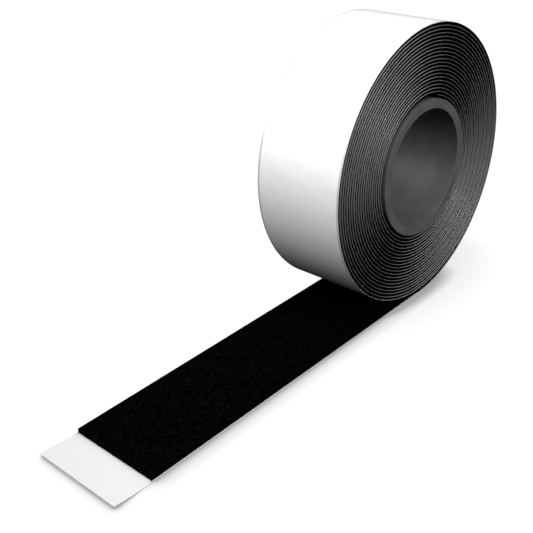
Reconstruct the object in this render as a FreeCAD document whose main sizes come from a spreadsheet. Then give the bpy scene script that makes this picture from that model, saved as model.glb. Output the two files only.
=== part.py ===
"""Roll of foam grip tape on a release liner, wound on a short tube core, with its free end laid out flat.

Frame: the origin is on the core's axis, half way along it. +Y runs along the axis, +Z is up, and the
free end of the tape runs along the floor towards -X. Angles round the axis are in degrees from straight
down, turning towards +X, so 90 is the +X side and 180 is the top. Sizes are in millimetres.
"""
import FreeCAD, Part

import math
import os

import Sketcher
from FreeCAD import Vector

SIZES = {
    "bore_radius": (19.05, "radius of the hole through the core"),
    "core_wall": (2.9, "wall of the core tube"),
    "core_chamfer": (0.25, "chamfer on the core's four rims"),
    "core_clearance": (0.05, "from the core to the first turn of tape"),
    "core_overhang": (0.4, "how far the core stands past each edge of the liner"),
    "foam_width": (30.0, "width of the foam tape"),
    "liner_overhang": (0.3, "how far the liner stands past each edge of the foam"),
    "foam_pressed": (0.925, "thickness of the foam in the winding, under tension"),
    "foam_relaxed": (1.4, "thickness of the foam lying flat"),
    "liner_thickness": (0.1, "thickness of the release liner"),
    "adhesive_gap": (0.03, "from the wound foam to its liner, where the adhesive coat lies"),
    "turn_gap": (0.04, "from one turn's liner to the next turn's foam"),
    "full_turns": (20, "whole turns in the winding"),
    "start_angle": (162.0, "where the tape starts on the core"),
    "tail_length": (120.0, "flat foam, from under the core's axis to its cut end"),
    "tail_pieces": (6, "hinged lengths that stand in for the flexible tail"),
    "tab_length": (12.4, "bare liner past the foam's cut end"),
}

HALF_TURN = 180
QUARTER = 90
VOLUME_TOLERANCE = 0.005  # share by which a wound layer may differ from its section times its length

# Expressions that several pieces share
PITCH = "(Sizes.foam_pressed + Sizes.adhesive_gap + Sizes.liner_thickness + Sizes.turn_gap)"
CORE_RADIUS = "(Sizes.bore_radius + Sizes.core_wall)"
REST_RADIUS = (  # from the axis down to the top of the flat tape
    f"({CORE_RADIUS} + Sizes.core_clearance + {PITCH} * Sizes.full_turns)"
)
LINER_WIDTH = "(Sizes.foam_width + 2 * Sizes.liner_overhang)"
STEP = "(Sizes.tail_length / Sizes.tail_pieces)"  # from one hinge of the tail to the next


def make_sheet(doc):
    """The driving dimensions, one to a row: a note, the value and its alias."""
    sheet = doc.addObject("Spreadsheet::Sheet", "Sizes")
    for row, (alias, (value, note)) in enumerate(SIZES.items(), start=1):
        sheet.set(f"A{row}", note)
        sheet.set(f"B{row}", str(value))
        sheet.setAlias(f"B{row}", alias)
    doc.recompute()
    return sheet


def make_core(doc):
    """A short tube: a ring sketched across the axis and padded both ways, with chamfered rims."""
    body = doc.addObject("PartDesign::Body", "Core")
    body.Label = "core"
    plane = next(feature for feature in body.Origin.OriginFeatures if feature.Role == "XZ_Plane")
    sketch = body.newObject("Sketcher::SketchObject", "CoreRing")
    sketch.AttachmentSupport = [(plane, "")]
    sketch.MapMode = "FlatFace"
    add_ring_circle(sketch, "bore", "Sizes.bore_radius")
    add_ring_circle(sketch, "outside", CORE_RADIUS)
    tube = body.newObject("PartDesign::Pad", "CoreTube")
    tube.Profile = sketch
    tube.Midplane = True
    tube.setExpression("Length", f"{LINER_WIDTH} + 2 * Sizes.core_overhang")
    doc.recompute()
    rims = [
        f"Edge{number}"
        for number, edge in enumerate(tube.Shape.Edges, start=1)
        if isinstance(edge.Curve, Part.Circle)
    ]
    chamfer = body.newObject("PartDesign::Chamfer", "CoreRims")
    chamfer.Base = (tube, rims)
    chamfer.setExpression("Size", "Sizes.core_chamfer")
    body.Tip = chamfer
    return body


def add_ring_circle(sketch, name, radius):
    """A circle round the sketch's origin, its radius bound to the sheet."""
    centre_point, origin, origin_point = 3, -1, 1
    circle = sketch.addGeometry(Part.Circle(Vector(), Vector(0, 0, 1), 1))
    sketch.addConstraint(
        Sketcher.Constraint("Coincident", circle, centre_point, origin, origin_point)
    )
    index = sketch.addConstraint(Sketcher.Constraint("Radius", circle, 1))
    sketch.renameConstraint(index, name)
    sketch.setExpression(f"Constraints.{name}", radius)


def outward(angle):
    """Unit vector from the axis, at an angle from straight down towards +X."""
    turned = math.radians(angle)
    return Vector(math.sin(turned), 0, -math.cos(turned))


def wound_arcs(sheet):
    """The tape's inner face as arcs, from its start on the core: centre, radius and two angles.

    Half turns round the core's axis, which hug the core or the turn below, take it in turn with half
    turns round a centre half a pitch away, which climb over the start by one pitch. They meet
    tangentially. The last arc comes round the axis to the floor, in two parts.
    """
    pitch = sheet.foam_pressed + sheet.adhesive_gap + sheet.liner_thickness + sheet.turn_gap
    start = sheet.start_angle
    inner_radius = sheet.bore_radius + sheet.core_wall + sheet.core_clearance
    centres = (Vector(), outward(start) * pitch / 2)
    arcs = []
    for half_turn in range(2 * sheet.full_turns):
        high = start - HALF_TURN * (half_turn % 2)
        radius = inner_radius + half_turn * pitch / 2
        arcs.append((centres[half_turn % 2], radius, high, high - HALF_TURN))
    rest_radius = inner_radius + pitch * sheet.full_turns
    arcs.append((centres[0], rest_radius, start, QUARTER))
    arcs.append((centres[0], rest_radius, QUARTER, 0))
    return arcs


def arc_edge(centre, radius, high, low):
    """Part of a circle, between two angles."""
    places = [centre + outward(angle) * radius for angle in (high, (high + low) / 2, low)]
    return Part.Arc(*places).toShape()


def easing_edge(centre, bottom_radius, side_radius):
    """A quarter of an ellipse, from its lowest point up to its +X side."""
    bottom = centre + outward(0) * bottom_radius
    side = centre + outward(QUARTER) * side_radius
    ellipse = Part.Ellipse(bottom, side, centre)
    return Part.ArcOfEllipse(ellipse, ellipse.parameter(bottom), ellipse.parameter(side)).toShape()


def wound_face(arcs, offset, flat_offset):
    """Edges of a face of the wound tape, at an offset outside its inner face.

    The last quarter turn, down to the floor, eases from that offset to the flat tape's.
    """
    edges = [arc_edge(centre, radius + offset, high, low) for centre, radius, high, low in arcs[:-1]]
    centre, radius, high, low = arcs[-1]
    if flat_offset > offset:
        edges.append(easing_edge(centre, radius + flat_offset, radius + offset))
    else:
        edges.append(arc_edge(centre, radius + offset, high, low))
    return edges


def cut_end(centre, radius, angle, offsets):
    """The straight edge across a layer, between the offsets of its two faces."""
    places = [centre + outward(angle) * (radius + offset) for offset in offsets]
    return Part.LineSegment(*places).toShape()


def wound_volume(arcs, wound, flat, width):
    """Length at mid thickness, times thickness and width; the eased quarter counts at half way."""
    eased = [(a + b) / 2 for a, b in zip(wound, flat)]
    volume = 0
    for centre, radius, high, low in arcs:
        inner, outer = wound if low != 0 else eased
        volume += (radius + (inner + outer) / 2) * math.radians(high - low) * (outer - inner) * width
    return volume


def make_winding(doc, label, arcs, width, wound, flat):
    """A wound layer, from its two faces' offsets in the winding and where it meets the floor."""
    first_centre, first_radius, start, _ = arcs[0]
    last_centre, last_radius, _, floor = arcs[-1]
    outline = [
        *wound_face(arcs, wound[0], flat[0]),
        cut_end(first_centre, first_radius, start, wound),
        *wound_face(arcs, wound[1], flat[1]),
        cut_end(last_centre, last_radius, floor, flat),
    ]
    face = Part.Face(Part.Wire(Part.__sortEdges__(outline)))
    face.translate(Vector(0, -width / 2, 0))
    shape = face.extrude(Vector(0, width, 0))
    expected = wound_volume(arcs, wound, flat, width)
    if abs(shape.Volume / expected - 1) > VOLUME_TOLERANCE:
        raise RuntimeError(f"{label} has a volume of {shape.Volume:.1f}, not {expected:.1f}")
    piece = doc.addObject("Part::Feature", label)
    piece.Label = label
    piece.Shape = shape
    return piece


def make_windings(doc, sheet):
    """The foam on the core, and its liner on the outside of each turn."""
    arcs = wound_arcs(sheet)
    liner_width = sheet.foam_width + 2 * sheet.liner_overhang
    foam = (0, sheet.foam_pressed)
    foam_flat = (0, sheet.foam_relaxed)
    liner_inner = sheet.foam_pressed + sheet.adhesive_gap
    liner = (liner_inner, liner_inner + sheet.liner_thickness)
    liner_flat = (sheet.foam_relaxed, sheet.foam_relaxed + sheet.liner_thickness)
    return [
        make_winding(doc, "foam_winding", arcs, sheet.foam_width, foam, foam_flat),
        make_winding(doc, "liner_winding", arcs, liner_width, liner, liner_flat),
    ]


def make_strip(doc, label, start, length, width, depth, thickness):
    """A flat length towards -X: start is its distance from the axis, depth its top's below the tape's."""
    box = doc.addObject("Part::Box", label)
    box.Label = label
    box.setExpression("Length", length)
    box.setExpression("Width", width)
    box.setExpression("Height", thickness)
    box.setExpression("Placement.Base.x", f"-({start} + {length})")
    box.setExpression("Placement.Base.y", f"-{width} / 2")
    box.setExpression("Placement.Base.z", f"-({REST_RADIUS} + {depth} + {thickness})")
    return box


def make_flat_foam(doc, label, start, length):
    return make_strip(doc, label, start, length, "Sizes.foam_width", "0", "Sizes.foam_relaxed")


def make_flat_liner(doc, label, start, length):
    return make_strip(
        doc, label, start, length, LINER_WIDTH, "Sizes.foam_relaxed", "Sizes.liner_thickness"
    )


def make_tail(doc):
    """Flat foam and liner: a lead-out fixed to the roll, the hinged lengths and the bare tab.

    The first hinge is half a step from the axis and the rest a step apart, so the last length is half
    a step long.
    """
    half_step = f"({STEP} / 2)"
    pieces = [
        make_flat_foam(doc, "foam_lead_out", "0", half_step),
        make_flat_liner(doc, "liner_lead_out", "0", half_step),
    ]
    count = SIZES["tail_pieces"][0]
    for number in range(1, count + 1):
        start = f"({STEP} * ({number} - 0.5))"
        length = STEP if number < count else half_step
        pieces.append(make_flat_foam(doc, f"foam_tail_{number}", start, length))
        pieces.append(make_flat_liner(doc, f"liner_tail_{number}", start, length))
    pieces.append(make_flat_liner(doc, "liner_tab", "Sizes.tail_length", "Sizes.tab_length"))
    return pieces


def check(doc, pieces):
    """Stops on a failed object, or on a piece that isn't one valid solid."""
    for item in doc.Objects:
        if "Invalid" in item.State or "Error" in item.State:
            raise RuntimeError(f"{item.Label} failed: {item.State}")
    for piece in pieces:
        shape = piece.Shape
        if shape.isNull() or not shape.isValid() or len(shape.Solids) != 1:
            raise RuntimeError(f"{piece.Label} isn't one valid solid")


def main():
    doc = FreeCAD.newDocument("GripTapeRoll")
    sheet = make_sheet(doc)
    pieces = [make_core(doc), *make_windings(doc, sheet), *make_tail(doc)]
    doc.recompute()
    check(doc, pieces)
    os.makedirs("parts", exist_ok=True)
    for piece in pieces:
        piece.Shape.exportStep(f"parts/{piece.Label}.step")
        box = piece.Shape.BoundBox
        print(f"{piece.Label:15} {piece.Shape.Volume:10.1f} mm3  x {box.XMin:8.2f} to {box.XMax:6.2f}"
              f"  y {box.YMin:7.2f} to {box.YMax:6.2f}  z {box.ZMin:7.2f} to {box.ZMax:6.2f}")


main()
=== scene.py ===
import math

import bpy
import numpy as np
from mathutils import Matrix, Vector


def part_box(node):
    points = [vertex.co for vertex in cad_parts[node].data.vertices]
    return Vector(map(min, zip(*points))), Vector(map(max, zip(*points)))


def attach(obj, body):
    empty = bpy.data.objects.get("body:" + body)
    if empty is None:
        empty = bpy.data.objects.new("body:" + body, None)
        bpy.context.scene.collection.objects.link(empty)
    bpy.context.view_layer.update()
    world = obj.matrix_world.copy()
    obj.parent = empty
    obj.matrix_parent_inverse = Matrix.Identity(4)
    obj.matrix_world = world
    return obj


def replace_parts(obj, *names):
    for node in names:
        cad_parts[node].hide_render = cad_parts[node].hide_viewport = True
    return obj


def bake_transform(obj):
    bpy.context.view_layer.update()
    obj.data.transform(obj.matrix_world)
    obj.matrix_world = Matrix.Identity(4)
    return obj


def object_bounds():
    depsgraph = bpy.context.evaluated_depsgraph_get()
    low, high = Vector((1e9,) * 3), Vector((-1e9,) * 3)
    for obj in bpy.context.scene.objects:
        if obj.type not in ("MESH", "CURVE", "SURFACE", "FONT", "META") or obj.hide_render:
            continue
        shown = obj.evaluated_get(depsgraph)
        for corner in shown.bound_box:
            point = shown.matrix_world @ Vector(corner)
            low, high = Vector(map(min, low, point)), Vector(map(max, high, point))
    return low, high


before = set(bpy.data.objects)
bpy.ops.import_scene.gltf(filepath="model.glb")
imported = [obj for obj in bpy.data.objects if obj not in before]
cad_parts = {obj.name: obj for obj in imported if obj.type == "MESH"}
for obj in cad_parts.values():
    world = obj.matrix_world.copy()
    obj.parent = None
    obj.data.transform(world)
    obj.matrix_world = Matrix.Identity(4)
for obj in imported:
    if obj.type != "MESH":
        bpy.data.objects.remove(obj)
cadLow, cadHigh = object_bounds()
print("frame loaded with", len(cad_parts), "solids")

mm = 0.001

# Sizes shared by the pieces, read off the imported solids
coreLow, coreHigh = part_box("core")
foamFlatLow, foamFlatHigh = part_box("foam_tail_1")
linerFlatLow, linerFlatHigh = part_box("liner_tail_1")
stripStep = foamFlatHigh.x - foamFlatLow.x  # from one hinge of the flat tape to the next
stripCount = sum(name.startswith("foam_tail_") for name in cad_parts)
restRadius = -foamFlatHigh.z  # from the core's axis down to the top of the flat tape
flatFoam = foamFlatHigh.z - foamFlatLow.z
linerThickness = linerFlatHigh.z - linerFlatLow.z
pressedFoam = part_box("foam_winding")[1].x - restRadius
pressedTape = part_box("liner_winding")[1].x - restRadius
foamHalf, linerHalf = foamFlatHigh.y, linerFlatHigh.y

winding = {
    "turns": 20,  # whole turns on the core
    "startAngle": 162.0,  # degrees from straight down towards +X, where the tape starts
    "coreGap": 0.05 * mm,
    "stepsPerTurn": 120,
    "sideWander": 0.07 * mm,  # how far the turns wander along the axis
}
innerRadius = coreHigh.x + winding["coreGap"]
pitch = (restRadius - innerRadius) / winding["turns"]
travelEnd = winding["turns"] * 360 + winding["startAngle"]


def linearColour(hexCode):
    # sRGB hex to linear light, as the shader sockets need it
    parts = np.array([int(hexCode[i:i + 2], 16) / 255 for i in (1, 3, 5)])
    linear = np.where(parts <= 0.04045, parts / 12.92, ((parts + 0.055) / 1.055) ** 2.4)
    return (*linear.tolist(), 1.0)


def addNode(tree, kind, inputs=None, **settings):
    # One node with its settings; an input is a value or the socket that feeds it
    node = tree.nodes.new(kind)
    for name, value in settings.items():
        setattr(node, name, value)
    for name, value in (inputs or {}).items():
        if isinstance(value, bpy.types.NodeSocket):
            tree.links.new(value, node.inputs[name])
        else:
            node.inputs[name].default_value = value
    return node


def newMaterial(name):
    # A material with an empty node tree
    material = bpy.data.materials.new(name)
    material.use_nodes = True
    material.node_tree.nodes.clear()
    return material, material.node_tree


def setRamp(node, stops):
    # Sets the two stops of a colour ramp, each a position and a hex colour
    for element, (position, hexCode) in zip(node.color_ramp.elements, stops):
        element.position = position
        element.color = linearColour(hexCode)
    return node


# Matt moulded plastic: a soft sheen on the rims, and a fine spark-eroded grain that breaks it up
corePlastic = {
    "dark": "#393939",
    "light": "#404040",
    "roughness": (0.5, 0.62),
    "grain": 0.5 * mm,  # real grain is about 0.05 mm, drawn coarser so that it shows
    "grainDepth": 0.02 * mm,
    "bump": 0.35,
    "cloudSize": 6 * mm,  # slow drift between the dark and the light shade
    "ior": 1.49,
}


def mouldedPlastic():
    look = corePlastic
    material, tree = newMaterial("mattMouldedPlastic")
    place = addNode(tree, "ShaderNodeTexCoord").outputs["Object"]
    cloud = addNode(tree, "ShaderNodeTexNoise", {
        "Vector": place, "Scale": 1 / look["cloudSize"], "Detail": 3.0,
    })
    grain = addNode(tree, "ShaderNodeTexNoise", {
        "Vector": place, "Scale": 1 / look["grain"], "Detail": 2.0,
    })
    colour = setRamp(
        addNode(tree, "ShaderNodeValToRGB", {"Fac": cloud.outputs["Fac"]}),
        [(0.35, look["dark"]), (0.65, look["light"])],
    )
    rough = addNode(tree, "ShaderNodeMapRange", {
        "Value": grain.outputs["Fac"], "From Min": 0.3, "From Max": 0.7,
        "To Min": look["roughness"][0], "To Max": look["roughness"][1],
    })
    bump = addNode(tree, "ShaderNodeBump", {
        "Height": grain.outputs["Fac"], "Strength": look["bump"], "Distance": look["grainDepth"],
    })
    shader = addNode(tree, "ShaderNodeBsdfPrincipled", {
        "Base Color": colour.outputs["Color"], "Roughness": rough.outputs["Result"],
        "Normal": bump.outputs["Normal"], "IOR": look["ior"],
    })
    addNode(tree, "ShaderNodeOutputMaterial", {"Surface": shader.outputs["BSDF"]})
    return material


# Black closed-cell foam: it swallows light, and only the skins of its cells glint a little
foamLook = {
    "pit": "#000000",
    "cell": "#090909",
    "cellSize": 0.45 * mm,  # real cells are about 0.2 mm, drawn coarser so that they show
    "cellDepth": 0.06 * mm,
    "bump": 0.5,
    "patchSize": 1.2 * mm,  # patches of denser and looser cells
    "roughness": (0.8, 0.97),
    "specular": 0.01,
}


def closedCellFoam():
    look = foamLook
    material, tree = newMaterial("closedCellFoam")
    place = addNode(tree, "ShaderNodeTexCoord").outputs["Object"]
    cells = addNode(tree, "ShaderNodeTexVoronoi", {"Vector": place, "Scale": 1 / look["cellSize"]})
    cloud = addNode(tree, "ShaderNodeTexNoise", {
        "Vector": place, "Scale": 1 / look["patchSize"], "Detail": 4.0,
    })
    mixed = addNode(tree, "ShaderNodeMath", {
        0: cells.outputs["Distance"], 1: cloud.outputs["Fac"],
    }, operation="MULTIPLY")
    colour = setRamp(
        addNode(tree, "ShaderNodeValToRGB", {"Fac": mixed.outputs[0]}),
        [(0.27, look["pit"]), (0.5, look["cell"])],
    )
    rough = addNode(tree, "ShaderNodeMapRange", {
        "Value": cells.outputs["Distance"], "From Min": 0.0, "From Max": 0.8,
        "To Min": look["roughness"][1], "To Max": look["roughness"][0],
    })
    bump = addNode(tree, "ShaderNodeBump", {
        "Height": cells.outputs["Distance"],
        "Strength": look["bump"], "Distance": look["cellDepth"],
    })
    shader = addNode(tree, "ShaderNodeBsdfPrincipled", {
        "Base Color": colour.outputs["Color"], "Roughness": rough.outputs["Result"],
        "Normal": bump.outputs["Normal"], "Specular IOR Level": look["specular"],
    })
    addNode(tree, "ShaderNodeOutputMaterial", {"Surface": shader.outputs["BSDF"]})
    return material


# White glassine, calendered: a smooth satin back and a slightly greyer silicone-coated side. Near
# the edges, painted shade stands in for the shade between the wound turns, beside the flat foam
# and at its cut end
linerLook = {
    "face": "#ececec",
    "cloud": "#e8e8e8",
    "coated": "#b6b6b6",
    "foamEndShade": "#8c8c8c",  # painted shade on the tab beside the foam's cut end
    # painted shade near the edges, where the wound turns hide each other and beside the flat foam
    "marginShade": "#6a6a6a",
    "marginWidth": 0.75 * mm,
    "marginEdge": 0.2,  # share of that width over which the grey fades in
    "cloudSize": 2.5 * mm,  # the uneven look of the pulp held up to the light
    "fibre": 0.3 * mm,
    "fibreDepth": 0.004 * mm,
    "bump": 0.25,
    "roughness": (0.38, 0.48),
    "ior": 1.45,
    "coat": 1.0,
    "coatRoughness": 0.25,
}


def glassinePaper():
    look = linerLook
    material, tree = newMaterial("siliconeCoatedGlassine")
    place = addNode(tree, "ShaderNodeTexCoord").outputs["Object"]
    cloud = addNode(tree, "ShaderNodeTexNoise", {
        "Vector": place, "Scale": 1 / look["cloudSize"], "Detail": 5.0,
    })
    fibre = addNode(tree, "ShaderNodeTexNoise", {
        "Vector": place, "Scale": 1 / look["fibre"], "Detail": 3.0,
    })
    face = setRamp(
        addNode(tree, "ShaderNodeValToRGB", {"Fac": cloud.outputs["Fac"]}),
        [(0.3, look["cloud"]), (0.7, look["face"])],
    )
    side = addNode(tree, "ShaderNodeAttribute", attribute_name="coatedSide").outputs["Fac"]
    sided = addNode(tree, "ShaderNodeMixRGB", {
        "Fac": side, "Color1": face.outputs["Color"], "Color2": linearColour(look["coated"]),
    })
    # painted shade on the tab beside the foam's cut end
    foamEndShade = addNode(tree, "ShaderNodeAttribute", attribute_name="paintedFoamEndShade").outputs["Fac"]
    sided = addNode(tree, "ShaderNodeMixRGB", {
        "Fac": foamEndShade, "Color1": sided.outputs["Color"], "Color2": linearColour(look["foamEndShade"]),
    })
    across = addNode(tree, "ShaderNodeSeparateXYZ", {"Vector": place}).outputs["Y"]
    fromMiddle = addNode(tree, "ShaderNodeMath", {0: across}, operation="ABSOLUTE").outputs[0]
    rim = addNode(tree, "ShaderNodeMapRange", {
        "Value": fromMiddle, "From Min": linerHalf - look["marginWidth"],
        "From Max": linerHalf - (1 - look["marginEdge"]) * look["marginWidth"],
    })
    # how much painted shade goes on the edges: hidden turns, the open turn's rim, and beside the
    # flat foam
    shadedMargin = addNode(tree, "ShaderNodeAttribute", attribute_name="paintedMarginShade").outputs["Fac"]
    marginShadeMask = addNode(tree, "ShaderNodeMath", {
        0: rim.outputs["Result"], 1: shadedMargin,
    }, operation="MULTIPLY")
    colour = addNode(tree, "ShaderNodeMixRGB", {
        "Fac": marginShadeMask.outputs[0], "Color1": sided.outputs["Color"],
        "Color2": linearColour(look["marginShade"]),
    })
    rough = addNode(tree, "ShaderNodeMapRange", {
        "Value": fibre.outputs["Fac"], "From Min": 0.3, "From Max": 0.7,
        "To Min": look["roughness"][0], "To Max": look["roughness"][1],
    })
    bump = addNode(tree, "ShaderNodeBump", {
        "Height": fibre.outputs["Fac"], "Strength": look["bump"], "Distance": look["fibreDepth"],
    })
    shader = addNode(tree, "ShaderNodeBsdfPrincipled", {
        "Base Color": colour.outputs["Color"], "Roughness": rough.outputs["Result"],
        "Normal": bump.outputs["Normal"], "IOR": look["ior"],
        "Coat Weight": look["coat"], "Coat Roughness": look["coatRoughness"],
    })
    addNode(tree, "ShaderNodeOutputMaterial", {"Surface": shader.outputs["BSDF"]})
    return material


materials = {"core": mouldedPlastic(), "foam": closedCellFoam(), "liner": glassinePaper()}
print("materials made:", ", ".join(m.name for m in materials.values()))


def roundedBand(halfWidth, thickness, corner, across, rounding):
    # The outline of a flat band seen from its end, as columns of width and share of thickness: a
    # row along the inner face, a quarter circle, a straight wall, a quarter circle, and then the
    # same turned half round. Points two corner radii from each rounding keep the flats flat.
    turn = np.linspace(0, np.pi / 2, rounding + 1)
    reach, support, rise = halfWidth - corner, 2 * corner, corner / thickness
    row = np.linspace(support - reach, reach - support, across)
    low = np.stack([reach + corner * np.sin(turn), rise * (1 - np.cos(turn))], 1)
    high = np.stack([low[::-1, 0], 1 - low[::-1, 1]], 1)
    share = np.array([rise + support / thickness, 1 - rise - support / thickness])
    share = share if share[0] < share[1] else share[:0]
    wall = np.stack([0 * share + halfWidth, share], 1)
    half = np.concatenate([np.stack([row, 0 * row], 1), low, wall, high])
    return np.concatenate([half, np.stack([-half[:, 0], 1 - half[:, 1]], 1)])


def windingGrid(profile, innerLift, sideThickness, floorInnerLift, floorThickness):
    # Carries a profile along the wound tape. The inner face is made of half turns round the core's
    # axis, which take it in turn with half turns round a centre half a pitch away. Over the last
    # quarter turn the lift grows as an ellipse does, from its pressed to its flat value.
    steps = int(round(travelEnd / 360 * winding["stepsPerTurn"]))
    travelled = np.linspace(0, travelEnd, steps + 1)[:, None]
    halfTurn = np.minimum(np.floor(travelled / 180 + 1e-9), 2 * winding["turns"])
    angle = np.radians(winding["startAngle"] - travelled)
    start = math.radians(winding["startAngle"])
    radius = innerRadius + halfTurn * pitch / 2
    aside = (halfTurn % 2) * pitch / 2
    share = profile[None, :, 1]
    sideLift = innerLift + share * sideThickness
    floorLift = floorInnerLift + share * floorThickness
    floorLift = np.where(travelled > travelEnd - 90, floorLift, sideLift)
    x = aside * math.sin(start) + (radius + sideLift) * np.sin(angle)
    z = -aside * math.cos(start) - (radius + floorLift) * np.cos(angle)
    turn = travelled / 360
    settle = np.clip((travelEnd - travelled) / 360, 0, 1) ** 2
    wander = winding["sideWander"] * settle * (
        0.6 * np.sin(2.3 * turn) + 0.4 * np.sin(6.1 * turn + 1.3)
    )
    y = profile[None, :, 0] + wander + 0 * angle
    return np.stack(np.broadcast_arrays(x, y, z), axis=-1)


def flatGrid(profile, startX, endX, sections, lowZ, highZ, lift=None):
    # Carries a profile along a straight run of tape, from one x to another; lift raises each
    # section by a function of how far along it is, from 0 to 1.
    along = np.linspace(0, 1, sections)[:, None]
    x = startX + (endX - startX) * along + 0 * profile[None, :, 0]
    y = profile[None, :, 0] + 0 * along
    # share 0 is the inner face, which is the top of the tape once it lies flat
    z = highZ + (lowZ - highZ) * profile[None, :, 1] + 0 * along
    if lift is not None:
        z = z + lift(along)
    return np.stack([x, y, z], axis=-1)


def skinGrid(name, grid, material, looped=False):
    # Joins neighbouring sections of a grid with quads. A run with two ends is closed with a flat
    # cap at each, whose rim stays a hard edge; a looped one joins back on itself.
    sections, around = grid.shape[:2]
    index = np.arange(sections * around).reshape(sections, around)
    beside, ahead = np.roll(index, -1, axis=1), np.roll(index, -1, axis=0)
    corner = np.roll(beside, -1, axis=0)
    quads = np.stack([index, beside, corner, ahead], axis=-1)
    quads = (quads if looped else quads[:-1]).reshape(-1, 4).tolist()
    caps = [] if looped else [index[0][::-1].tolist(), index[-1].tolist()]
    mesh = bpy.data.meshes.new(name)
    mesh.from_pydata(grid.reshape(-1, 3), [], quads + caps)
    mesh.update()
    mesh.calc_loop_triangles()
    corners = np.zeros(len(mesh.loop_triangles) * 3, np.int32)
    mesh.loop_triangles.foreach_get("vertices", corners)
    a, b, c = grid.reshape(-1, 3)[corners].reshape(-1, 3, 3).transpose(1, 0, 2)
    # signed volume tells inside from outside
    if np.einsum("ij,ij->i", a, np.cross(b, c)).sum() < 0:
        mesh.flip_normals()
    mesh.polygons.foreach_set("use_smooth", np.ones(len(mesh.polygons), bool))
    if not looped:
        ends = np.zeros(len(mesh.edges) * 2, np.int32)
        mesh.edges.foreach_get("vertices", ends)
        ends = ends.reshape(-1, 2)
        last = (sections - 1) * around
        rim = (ends < around).all(1) | (ends >= last).all(1)
        hard = mesh.attributes.new("sharp_edge", "BOOLEAN", "EDGE")
        hard.data.foreach_set("value", rim)
    mesh.materials.append(material)
    mesh.update()
    obj = bpy.data.objects.new(name, mesh)
    bpy.context.scene.collection.objects.link(obj)
    return obj


def paintPoints(obj, name, values):
    # Stores one number per vertex, for a material to read
    layer = obj.data.attributes.new(name, "FLOAT", "POINT")
    layer.data.foreach_set("value", np.ascontiguousarray(values, np.float32).ravel())


coreShape = {
    "bore": 19.05 * mm,
    "rimRound": 0.08 * mm,
    "across": 10,
    "rounding": 6,
    "segments": 192,
}


def makeCore():
    # A rounded wall turned about the Y axis: (radius sin angle, width, -radius cos angle)
    outside, half = coreHigh.x, coreHigh.y
    wall = outside - coreShape["bore"]
    band = roundedBand(half, wall, coreShape["rimRound"], coreShape["across"],
                       coreShape["rounding"])
    angle = np.linspace(0, 2 * np.pi, coreShape["segments"], endpoint=False)[:, None]
    radius = coreShape["bore"] + band[None, :, 1] * wall
    x, z = radius * np.sin(angle), -radius * np.cos(angle)
    grid = np.stack([x, band[None, :, 0] + 0 * angle, z], axis=-1)
    core = skinGrid("coreTube", grid, materials["core"], looped=True)
    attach(core, "roll")
    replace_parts(core, "core")


makeCore()
print("core made")

foamShape = {"corner": 0.05 * mm, "across": 8, "rounding": 3}
linerShape = {
    "corner": 0.03 * mm,
    "across": 8,
    "rounding": 2,
    "openTurnShade": 0.5,  # painted shade along the edges of the open turn
}
linerGap = pressedTape - linerThickness - pressedFoam  # adhesive coat between foam and liner
foamBand = roundedBand(foamHalf, pressedFoam, foamShape["corner"], foamShape["across"],
                       foamShape["rounding"])
linerBand = roundedBand(linerHalf, linerThickness, linerShape["corner"], linerShape["across"],
                        linerShape["rounding"])


def makeWinding():
    foam = skinGrid(
        "foamCoil", windingGrid(foamBand, 0.0, pressedFoam, 0.0, flatFoam), materials["foam"]
    )
    liner = skinGrid(
        "linerCoil",
        windingGrid(linerBand, pressedFoam + linerGap, linerThickness, flatFoam, linerThickness),
        materials["liner"],
    )
    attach(foam, "roll"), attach(liner, "roll")
    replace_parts(foam, "foam_winding"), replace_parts(liner, "liner_winding")
    foam, liner
    sections = len(liner.data.vertices) // len(linerBand)
    turnsLeft = np.linspace(travelEnd, 0, sections)[:, None] / 360
    coatedSide = np.tile(1 - linerBand[:, 1], (sections, 1))
    paintPoints(liner, "coatedSide", coatedSide)
    # the last turn's back is bare and gets a lighter painted shade on its edges; its coated side
    # and every other turn lie under tape and get the full painted shade
    shadedMargin = np.maximum(coatedSide > 0.5, turnsLeft > 1.0)
    paintPoints(liner, "paintedMarginShade", np.maximum(shadedMargin, linerShape["openTurnShade"]))


def windingLength():
    # Arc length of the liner's middle: pi times the radius for each half turn, then the last part
    middle = pressedFoam + linerGap + linerThickness / 2
    halves = np.arange(2 * winding["turns"])
    wound = np.pi * (innerRadius + halves * pitch / 2 + middle).sum()
    return float(wound + math.radians(winding["startAngle"]) * (restRadius + middle))


makeWinding()
print("winding made:", round(windingLength(), 3), "m of tape")

stripShape = {
    "sections": 41,
    "bendReach": 6 * mm,  # to each side of a hinge
    "besideFoamShade": 0.5,  # strength of the painted shade on the liner beside the flat foam, from 0 to 1
}


def makeStrips():
    # One flat length of tape per hinge of the tail, lying between the hinges at its two ends
    made = []
    for k in range(1, stripCount + 1):
        startX, endX = -(k - 1) * stripStep, -k * stripStep
        for kind, band, box in (
            ("foam", foamBand, (foamFlatLow, foamFlatHigh)),
            ("liner", linerBand, (linerFlatLow, linerFlatHigh)),
        ):
            low, high = box
            grid = flatGrid(band, startX, endX, stripShape["sections"], low.z, high.z)
            strip = skinGrid(f"{kind}Strip_{k}", grid, materials[kind])
            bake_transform(strip)
            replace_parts(strip, f"{kind}_tail_{k}", *([f"{kind}_lead_out"] if k == 1 else []))
            made.append(strip)
            if kind == "liner":
                paintPoints(strip, "coatedSide", np.tile(1 - band[:, 1], stripShape["sections"]))
                # painted shade on the liner edges beside the flat foam
                grey = np.full(len(strip.data.vertices), stripShape["besideFoamShade"])
                paintPoints(strip, "paintedMarginShade", grey)
    return made


tabShape = {
    "curl": 0.75 * mm,  # how far the bare end of the liner lifts off the floor
    "sections": 61,
    "foamEndShade": 0.55,  # strength of the painted shade on the liner at the foam's cut end
    "foamEndShadeReach": 0.9 * mm,
    "shadeFade": 12,  # the painted shade on the edges is gone after one part in this many of the tab
    "crease": 4.5 * mm,  # length of the crease of a peeled-up tab
}


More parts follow.
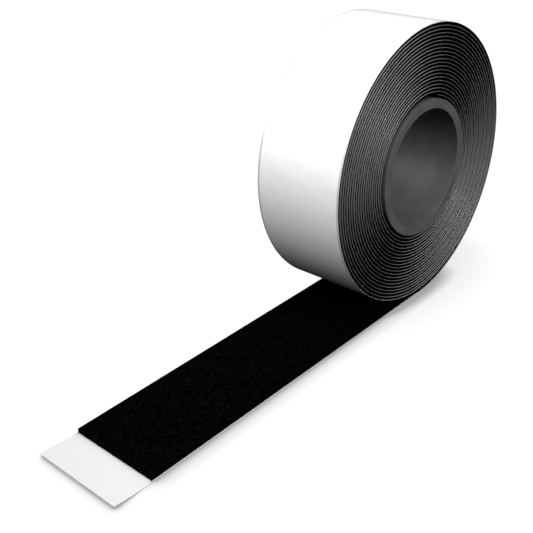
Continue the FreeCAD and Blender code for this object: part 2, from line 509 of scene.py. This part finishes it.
def makeTab():
    low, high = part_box("liner_tab")
    length = high.x - low.x
    # the lift grows with the square of the distance along the tab
    grid = flatGrid(linerBand, high.x, low.x, tabShape["sections"], low.z, high.z,
                    lambda along: tabShape["curl"] * along ** 2)
    tab = skinGrid("linerTab", grid, materials["liner"])
    paintPoints(tab, "coatedSide", np.tile(1 - linerBand[:, 1], tabShape["sections"]))
    fromFoam = np.linspace(0, length, tabShape["sections"])
    foamEndShade = tabShape["foamEndShade"] * np.exp(-fromFoam / tabShape["foamEndShadeReach"])
    paintPoints(tab, "paintedFoamEndShade", np.repeat(foamEndShade, len(linerBand)))
    fade = np.clip(1 - tabShape["shadeFade"] * np.linspace(0, 1, tabShape["sections"]), 0, 1)
    paintPoints(tab, "paintedMarginShade", np.repeat(stripShape["besideFoamShade"] * fade, len(linerBand)))
    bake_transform(tab)
    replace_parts(tab, "liner_tab")


# White acrylic light table: it glows evenly, and a soft shade is painted into the glow where
# something stands
sweep = {
    "size": 6.0,
    "glow": 1.06,
    # reach of the shade, how strongly it darkens, the side that it looks to, and samples
    "closeShade": (6 * mm, 1.1, (0.33, 0.62, 0.71), 32),
    "wideShade": (24 * mm, 0.4, (-0.62, 0.3, 0.72), 16),  # fainter, under what stands high
}


def softShade(tree, reach, depth, side, samples):
    # How hidden a spot is, seen through a hemisphere that leans to one side, turned into painted
    # shade: open floor reads 1
    towards = Vector(side).normalized()
    lean = addNode(tree, "ShaderNodeCombineXYZ", {"X": towards.x, "Y": towards.y, "Z": towards.z})
    seen = addNode(tree, "ShaderNodeAmbientOcclusion", {
        "Distance": reach, "Normal": lean.outputs["Vector"],
    }, samples=samples)
    return addNode(tree, "ShaderNodeMapRange", {
        "Value": seen.outputs["AO"], "From Min": 0.5, "From Max": 1.0,
        "To Min": 1 - 0.5 * depth, "To Max": 1.0,
    })


def makeFloor():
    half = sweep["size"] / 2
    z = cadLow.z
    mesh = bpy.data.meshes.new("floorSweep")
    corners = [(-half, -half, z), (half, -half, z), (half, half, z), (-half, half, z)]
    mesh.from_pydata(corners, [], [(0, 1, 2, 3)])
    material, tree = newMaterial("whiteAcrylicLightTable")
    close = softShade(tree, *sweep["closeShade"])
    wide = softShade(tree, *sweep["wideShade"])
    both = addNode(tree, "ShaderNodeMath", {
        0: close.outputs["Result"], 1: wide.outputs["Result"],
    }, operation="MULTIPLY")
    lit = addNode(tree, "ShaderNodeMath", {
        0: both.outputs[0], 1: sweep["glow"],
    }, operation="MULTIPLY")
    glow = addNode(tree, "ShaderNodeEmission", {
        "Color": linearColour("#ffffff"), "Strength": lit.outputs[0],
    })
    addNode(tree, "ShaderNodeOutputMaterial", {"Surface": glow.outputs["Emission"]})
    mesh.materials.append(material)
    floor = bpy.data.objects.new("floorSweep", mesh)
    bpy.context.scene.collection.objects.link(floor)
    floor.visible_diffuse = floor.visible_glossy = False  # so that it doesn't light the undersides


makeFloor()
strips = makeStrips()
makeTab()
print("flat tape made:", len(strips), "lengths and the bare tab")

studio = {
    "sky": 0.01,  # strength of the even light from all round
    "distance": 0.65,  # metres from the roll to each softbox
    "size": 0.38,
    "lights": {
        # direction from the roll, and power in watts
        "frontLeft": ((-0.454, -0.515, 0.727), 3.13),
        "front": ((-0.15, -0.9, 0.4), 4.77),
        "leftAbove": ((-0.62, 0.1, 0.78), 0.5),
        "above": ((0.0, 0.05, 1.0), 3.71),
        "backLeft": ((-0.6, 0.65, 0.45), 1.99),
    },
}


def makeLight(name, direction, power):
    place = Vector(direction).normalized() * studio["distance"]
    light = bpy.data.lights.new(name, "AREA")
    light.shape = "DISK"
    light.size = studio["size"]
    light.energy = power
    obj = bpy.data.objects.new(name, light)
    facing = place.to_track_quat("Z", "Y").to_matrix().to_4x4()
    obj.matrix_world = Matrix.Translation(place) @ facing
    bpy.context.scene.collection.objects.link(obj)


def makeStudio():
    for name, (direction, power) in studio["lights"].items():
        makeLight(name, direction, power)
    world = bpy.data.worlds.new("studioSky")
    world.use_nodes = True
    tree = world.node_tree
    tree.nodes.clear()
    seen = addNode(tree, "ShaderNodeLightPath").outputs["Is Camera Ray"]
    # white behind the object, and nearly dark as a light
    strength = addNode(tree, "ShaderNodeMapRange", {
        "Value": seen, "To Min": studio["sky"], "To Max": 1.0,
    })
    back = addNode(tree, "ShaderNodeBackground", {
        "Color": linearColour("#ffffff"), "Strength": strength.outputs["Result"],
    })
    addNode(tree, "ShaderNodeOutputWorld", {"Surface": back.outputs["Background"]})
    bpy.context.scene.world = world
    bpy.context.scene.view_settings.view_transform = "Standard"


makeStudio()

cameraSet = {
    "place": (-222.505 * mm, -153.494 * mm, 106.632 * mm),
    "azimuth": -46.938,  # degrees round from -Y, where the camera stands as seen from the roll
    "elevation": 28.4735,
    "roll": -2.4572,
    "lens": 59.374,
    "sensor": 36,
    "clip": (0.01, 20),
}


def makeCamera():
    azimuth, elevation, roll = (
        math.radians(cameraSet[angle]) for angle in ("azimuth", "elevation", "roll")
    )
    level = math.cos(elevation)
    back = Vector((math.sin(azimuth) * level, -math.cos(azimuth) * level, math.sin(elevation)))
    right = (-back).cross(Vector((0, 0, 1))).normalized()
    up = right.cross(-back)
    sideways = math.cos(roll) * right + math.sin(roll) * up
    upwards = math.cos(roll) * up - math.sin(roll) * right
    camera = bpy.data.cameras.new("camera")
    camera.sensor_width = cameraSet["sensor"]
    camera.lens = cameraSet["lens"]
    camera.clip_start, camera.clip_end = cameraSet["clip"]
    obj = bpy.data.objects.new("camera", camera)
    turned = Matrix((sideways, upwards, back)).transposed().to_4x4()
    obj.matrix_world = Matrix.Translation(cameraSet["place"]) @ turned
    bpy.context.scene.collection.objects.link(obj)
    bpy.context.scene.camera = obj


makeCamera()
print("studio and camera made")
